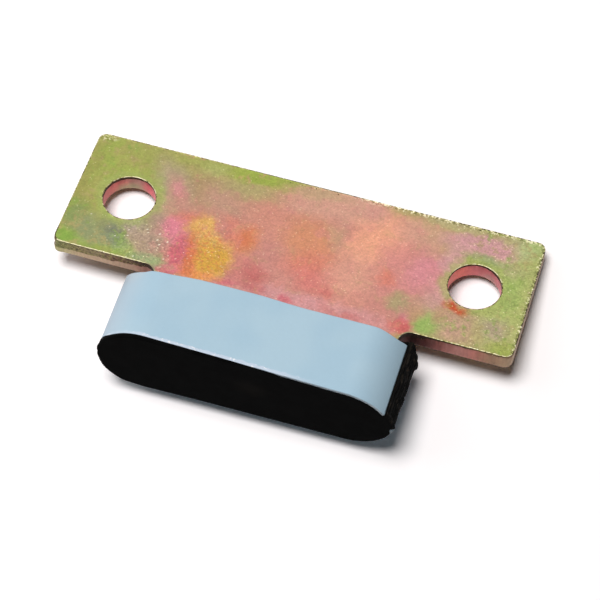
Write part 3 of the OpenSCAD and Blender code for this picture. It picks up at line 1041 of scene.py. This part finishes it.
def passivated_face():
    """The plate's two faces: patches of colour, mottled, with grain, painted glints, and scratches
    drawn as pale painted streak glints.
    """
    look = Finish("passivated_face", Metallic=0.55, Roughness=0.5)
    place = look.place
    loose = frayed(place, 4, 1.7)
    ragged = frayed(loose, 1.2, 0.9)
    colour = blend(ease(speckle(loose, 4), 0.42, 0.6), OLIVE, OLIVE_DULL)
    for x, y, half_x, half_y, *shade in FACE_PATCHES:
        colour = painted(colour, ragged, (x, y), (half_x, half_y), *shade)
    sideways, _, forward = split(place)
    lower_left = patch(ragged, (-25, -8.5), (6, 4.5), 0.6)["Mask"]
    gold_spot = patch(ragged, (-14.5, -7), (4, 6), 0.6)["Mask"]
    lively = ease(sideways, -32, -22, 0.45, 0.62) + ease(sideways, 22, 30, 0, 0.33)
    lively = lively + lower_left * 0.75 + gold_spot * 0.35

    clouds = speckle(ragged, 1.8, 4, 0.6)
    wild = speckle(place, 2.2, 4, 0.65)
    inner = ease(abs(sideways), 29, 21)
    green = ease(abs(sideways), 24, 30) * 0.65
    rusty = patch(place, (28, -5.4), (2.6, 1.9), 0.5)["Mask"]
    halo = use(NEAR_HOLE, Place=ragged, Near=5, Far=6.6)["Mask"] * 0.6
    colour = layered(
        colour,
        (ease(clouds, 0.54, 0.7, 0, 0.4) * lively, KHAKI),
        (ease(clouds, 0.46, 0.3, 0, 0.4) * inner, ROSE),
        (gold_spot * ease(speckle(place, 0.5), 0.52, 0.64) * 0.55, EMBER),
        (ease(wild, 0.46, 0.34) * green, GRASS),
        (ease(wild, 0.54, 0.68) * green, KHAKI),
        (halo * (1 - rusty), HALO))

    grain = zinc(place, 0.28, 0.04)
    colour = shaded(colour, speckle(place, 0.9, 3, 0.6), 0.5)
    colour = shaded(colour, grain["Shade"], lively)
    slanted = vectors("MULTIPLY", turned(place, 0.9), (1, 0.5, 1))
    scratched = patch(ragged, (-35.6, -4.7), (1.7, 1.3), 0.5)["Mask"]
    streak_glint_area = ((lower_left + gold_spot * 0.4).clamped() + scratched).clamped()
    flecks = use(RIM_FLECKS_AND_GLINTS, Place=place)
    # Pale painted glints over the grain, pale painted streak glints where the face is scratched,
    # then the rim's dark flecks and its pale painted glints
    colour = layered(
        colour,
        ((grain["Glint"] * lively * 0.6).clamped(), "fff2cc"),
        ((zinc(slanted, 0.34, 0.05)["Glint"] * streak_glint_area * 0.9).clamped(), "f2eed6"),
        (flecks["Dark"] * 0.7, "5c5a2a"),
        (flecks["Pale"] * 0.9, "ebe2bc"))

    behind = blend(ease(speckle(loose, 5), 0.42, 0.6), TAN, DUSTY)
    behind = blend(ease(clouds, 0.5, 0.62), behind, OLIVE_DULL)
    behind = shaded(behind, grain["Shade"], 0.6)
    colour = blend(ease(forward, 1.3, 1.9), behind, colour)
    feed(look.inputs["Roughness"], ease(grain["Shade"], 0.3, 0.7, 0.56, 0.42))
    return look.close(colour, grain["Height"], 0.35, 0.03)


def burr_with_painted_highlight():
    """The rim: a painted highlight along the lower edges and the holes' upper arcs, broken by dark
    nicks elsewhere, dark in the holes, with painted glints.
    """
    look = Finish("burr_with_painted_highlight", Metallic=0.6, Roughness=0.35)
    place = look.place
    hole = use(NEAR_HOLE, Place=place)["Mask"]
    corner = use(DARK_CORNER, Place=place)["Mask"]
    x, y, _ = split(place)
    # level is a painted highlight: along the lower edges and brighter on the holes' upper arcs,
    # less at the lower left corner; worn adds it to speckle
    level = ease(y, -10.4, -11.6) * ease(x, -10, 10, 0.15, 0.06)
    level = level + hole * ease(y, 0.6, 3, -0.05, 0.1) - corner * 0.5
    worn = speckle(place, 0.55, 2, 0.6) + level
    grain = zinc(place, 0.22, 0.12)
    flecks = use(RIM_FLECKS_AND_GLINTS, Place=place)
    # Dark flecks and pale painted glints of the rim, and pale painted glints of the grain
    colour = layered(
        in_steps(worn, "4a3a22", (0.4, 0.47, "9c965a"), (0.5, 0.62, "cec69c")),
        (flecks["Dark"], "3a3018"),
        (flecks["Pale"], "f4ecd0"),
        (ease(x, -16, -9) * ease(x, 10, 4) * ease(y, 11.4, 11.8, 0, 0.8), "45482f"),
        (ease(abs(x), 23.6, 22.8) * ease(y, -11, -12), "8c8462"),
        (grain["Glint"] * ease(worn, 0.4, 0.45), "fffbe6"))
    return look.close(colour, grain["Height"], 0.5, 0.04)


def torn_steel():
    """Torn zone under the rim: mottled olive at the left, brown at the right and in the holes,
    with painted shade beside the block and painted glints.
    """
    look = Finish("torn_steel", Metallic=0.6, Roughness=0.6)
    place = look.place
    hole = use(NEAR_HOLE, Place=place)["Mask"]
    corner = use(DARK_CORNER, Place=place)["Mask"]
    grain = zinc(place, 0.24, 0.06)
    spots = speckle(place, 0.45, 3, 0.65)
    pits = speckle(place, 0.6, 3, 0.6)
    sideways, _, forward = split(place)
    # Darkest towards the block's shoulders: painted shade of the block
    colour = along_plate(sideways, (
        (-39, "7e8050"), (-35, "8e7e56"), (-32, "918060"), (-29, "7c5c46"),
        (-25.5, "6c503c"), (-22, "3c261c"), (25, "38221a"), (28, "4a3420"),
        (31, "6a4e35"), (37, "806549"),
    ))
    left = ease(sideways, -23, -27) * (1 - hole)
    colour = layered(colour, (hole, "4c3422"), (corner, "98806a"),
                     (ease(pits, 0.5, 0.58) * left * 0.5, "8e8a4e"))
    # Dark pits and spots, darker just under the rim, and pale painted glints of the grain
    colour = layered(
        shaded(colour, spots, 2.6),
        (ease(pits, 0.46, 0.36) * 0.55, "2a2014"),
        (ease(spots, 0.37, 0.31), "241a10"),
        (ease(forward, 2.86, 3.02) * 0.6, "2a2014"),
        (grain["Glint"] * 0.6, "e8dca0"))
    return look.close(colour, grain["Height"], 0.8, 0.08)


def sheared_steel():
    """Smooth band of the punched wall: beige at the left, rose at the right and in the holes, with
    painted shade beside the block.
    """
    look = Finish("sheared_steel", Metallic=0.9, Roughness=0.45)
    place = look.place
    ragged = frayed(place, 2, 1)
    hole = use(NEAR_HOLE, Place=place)["Mask"]
    sideways = split(ragged)[0]
    # Darkest beside the block's shoulders, at x -21 and 22: painted shade of the block
    outer = along_plate(sideways, (
        (-39, "a39d72"), (-36, "ad987a"), (-31, "aa917a"), (-26, "9c7f6c"),
        (-23.2, "94685c"), (-21, "4c2c28"), (22, "442624"), (25.5, "6a3e3a"),
        (28, "8a544d"), (31, "a06e66"), (33.5, "a2685e"), (36, "8e6c56"), (39, "927a62"),
    ))
    left_wall = in_steps(sideways, "b86c66", (-33.4, -31, "ae8278"), (-30.6, -28.2, "cd666c"),
                         (-27.2, -26, "cf907a"))
    right_wall = in_steps(sideways, "c46c62", (27, 30, "bb6c6e"), (32, 35, "c4787c"))
    colour = blend(hole, outer, in_steps(sideways, left_wall, (-5, 5, right_wall)))
    colour = painted(colour, ragged, (-31.8, 4.2, 0.1), (2.4, 2.4, 1.3), "9c9274", 0.9, 0.7)
    colour = painted(colour, ragged, (32.2, 4.2, 0.1), (1.7, 1.6, 1.4), "a8817c", 0.9, 0.7)
    streak = speckle(vectors("MULTIPLY", place, (1, 1, 0.12)), 0.35, 2, 0.5)
    colour = shaded(colour, streak, 0.6 - hole * 0.45)
    colour = shaded(colour, speckle(place, 1.1, 3, 0.6), 0.6)
    return look.close(colour, streak, 0.4, 0.04)


def foot_with_painted_shade():
    """Rolled rim at the back of the punched walls, dull, and drawn dark as painted shade where the
    wall meets the floor.
    """
    look = Finish("foot_with_painted_shade", Metallic=0.4, Roughness=0.7)
    colour = blend(ease(speckle(look.place, 0.5), 0.4, 0.65), "2a1f18", "6a5242")
    return look.close(colour, speckle(look.place, 0.3), 0.5, 0.05)


# Height and slope of the front liner's lower edge, from which its light lip is drawn
LINER_LOW = -29.75
LINER_SLOPE = -0.01467


def blue_liner():
    """Pale blue liner, paler at its left end and darker at its right end with painted light and
    shade; the front one has a light lip where its lower edge was cut, partly raised and partly a
    painted highlight.
    """
    look = Finish("blue_liner", Roughness=0.5, Specular_IOR_Level=0.2)
    place = look.place
    x, y, z = split(place)
    # Mottled, paler towards the left end as painted light and darker towards the right end as
    # painted shade
    colour = layered(
        "aecbdc",
        (ease(speckle(place, 9, 1), 0.35, 0.65), "b4cfde"),
        (ease(x, -19, -25.5, 0, 0.55), "cfdbe8"),
        (ease(x, 17, 24, 0, 0.4), "a8c4d6"))
    colour = shaded(colour, speckle(place, 0.5), 0.05)
    # A paler patch on the left end's top: painted light
    colour = painted(colour, place, (-24.6, -15.6, 6), (3.4, 2.6, 6), "c4d0da", 0.7, 0.6)
    above = y - (x * LINER_SLOPE + LINER_LOW)
    front = ease(x, -22, -16, 0.45, 1) * ease(x, 14, 3) * ease(z, 2.4, 3.4)
    wavy = above + ease(speckle(place, 0.9), 0.3, 0.7, -0.14, 0.14)
    # The lip is drawn lighter, partly a raised cut edge and partly a painted highlight, with white
    # painted glints on it
    lip = front * ease(wavy, 0.78, 0.5)
    painted_lip_glints = lip * ease(speckle(place, 0.8), 0.56, 0.66)
    colour = layered(colour, (lip, "cfdcec"), (painted_lip_glints, "fbfcff"))
    return look.close(colour, speckle(place, 0.25), 0.08, 0.02)


def liner_cut():
    """Cut edges of a liner."""
    look = Finish("liner_cut", Roughness=0.6, Specular_IOR_Level=0.3)
    colour = blend(ease(speckle(look.place, 0.4), 0.35, 0.65), "b4c8d8", "dbe6ee")
    return look.close(colour, speckle(look.place, 0.15), 0.4, 0.03)


def moulded_rubber():
    """Black rubber, with a faint rough mark on its lower face."""
    look = Finish("moulded_rubber", Roughness=0.8, Specular_IOR_Level=0.02)
    place = look.place
    colour = blend(ease(speckle(place, 2.5), 0.35, 0.65), "060606", "0b0b0b")
    marked = frayed(place, 1.5, 0.8)
    colour = painted(colour, marked, (1, -30, 2.5), (2.6, 3, 1.6), "1c1a18", 0.6, 0.7)
    return look.close(colour, speckle(place, 0.4), 0.2, 0.03)


def torn_rubber():
    """Torn black rubber, streaked grey and brown."""
    look = Finish("torn_rubber", Roughness=0.7, Specular_IOR_Level=0.05)
    streaked = vectors("MULTIPLY", look.place, (1, 0.25, 1))
    colour = blend(ease(speckle(streaked, 0.55), 0.54, 0.68), "020202", "28231e")
    return look.close(colour, speckle(look.place, 0.3), 0.5, 0.08)


# Pieces
steel = [passivated_face(), burr_with_painted_highlight(), torn_steel(), sheared_steel(), foot_with_painted_shade()]
rubber = [moulded_rubber(), torn_rubber()]
liner = [blue_liner(), liner_cut()]

for piece, node, slot in (
    (make_plate(steel), "mounting_plate", "passivated_steel"),
    (make_rubber(rubber), "rubber_block", "black_rubber"),
    (make_liner("front_liner_looks", 1, liner), "front_liner", "blue_liner"),
    (make_liner("rear_liner_looks", -1, liner), "rear_liner", "blue_liner"),
):
    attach(piece, "root")
    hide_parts(node)


# Floor, light and camera
FLOOR_REACH, FLOOR_CLEARANCE = 115, 0.03
FLOOR_BOUNCE, FLOOR_SEEN = (0.5, 0.5, 0.5, 1), (1.24, 1.19, 1.19, 1)
WORLD_LIGHT, WORLD_SEEN = 0.03, 1
# Name, place in metres, width in metres and power in watts
SOFTBOXES = (
    ("overhead_softbox", (-0.103, -0.125, 0.685), 0.38, 4.15),
    ("left_softbox", (-0.552, 0, 0.431), 0.7, 1.05),
)
# The camera fitted to the photo: place in metres, turn in degrees and lens in millimetres
CAMERA_PLACE = (0.064803, -0.216574, 0.313664)
CAMERA_TURN = (34.5902, -0.4737, 17.3006)
CAMERA_LENS, CAMERA_SENSOR = 136.61, 36
CAMERA_NEAR, CAMERA_FAR = 0.01, 10


def seen_rays(tree):
    """1 for rays that the camera sees directly, in a reflection or through something."""
    path = add("LightPath", {}, tree)
    return path["Is Camera Ray"] | path["Is Glossy Ray"] | path["Is Transmission Ray"]


def empty_tree(data):
    """The emptied node tree of a material or world."""
    data.use_nodes = True
    data.node_tree.nodes.clear()
    return data.node_tree


def make_floor():
    """A pale floor that touches the block's rear edge and the plate's far edge, as at rest."""
    rest_low = Vector((0, BLOCK_TOP, PLATE_THICK / 2 - BLOCK_HALF))
    rest_high = Vector((0, PLATE_TOP, 0))
    along = (rest_high - rest_low).normalized()
    middle = (rest_low + rest_high) / 2 - Vector((0, 0, FLOOR_CLEARANCE))
    corners = [middle + Vector((x * FLOOR_REACH, 0, 0)) + along * y * FLOOR_REACH
               for x, y in ((-1, -1), (1, -1), (1, 1), (-1, 1))]
    mesh = bpy.data.meshes.new("floor")
    mesh.from_pydata([c * MM for c in corners], [], [(0, 1, 2, 3)])
    material = bpy.data.materials.new("pale_floor")
    tree = empty_tree(material)
    shade = blend(seen_rays(tree), FLOOR_BOUNCE, FLOOR_SEEN)
    seen = add("BsdfDiffuse", {"Color": shade})[0]
    under = add("NewGeometry", {}, tree)["Backfacing"]
    clear = add("BsdfTransparent", {}, tree)[0]
    shown = add("MixShader", {0: under, 1: seen, 2: clear})[0]
    add("OutputMaterial", {"Surface": shown})
    mesh.materials.append(material)
    place_object("floor", mesh)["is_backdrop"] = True


def make_world():
    """Even light that is faint on the part and white where the camera sees it."""
    world = bpy.data.worlds.new("studio")
    tree = empty_tree(world)
    strength = ease(seen_rays(tree), 0, 1, WORLD_LIGHT, WORLD_SEEN, "LINEAR")
    light = add("Background", {"Color": (1, 1, 1, 1), "Strength": strength})[0]
    add("OutputWorld", {"Surface": light})
    bpy.context.scene.world = world


def add_softbox(name, place, size, power):
    """A round lamp that faces the origin."""
    lamp = bpy.data.lights.new(name, "AREA")
    lamp.shape = "DISK"
    lamp.size = size
    lamp.energy = power
    box = place_object(name, lamp)
    box.location = place
    box.rotation_mode = "QUATERNION"
    box.rotation_quaternion = (-Vector(place)).to_track_quat("-Z", "Y")


def make_camera():
    lens = bpy.data.cameras.new("photo_camera")
    lens.sensor_width = CAMERA_SENSOR
    lens.lens = CAMERA_LENS
    lens.clip_start, lens.clip_end = CAMERA_NEAR, CAMERA_FAR
    camera = place_object("photo_camera", lens)
    camera.location = CAMERA_PLACE
    camera.rotation_euler = Euler([math.radians(a) for a in CAMERA_TURN])
    bpy.context.scene.camera = camera


make_floor()
make_world()
for softbox in SOFTBOXES:
    add_softbox(*softbox)
make_camera()
bpy.context.scene.view_settings.view_transform = "Standard"

[[list(corner) for corner in box] for box in (CAD_BOX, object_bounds())]
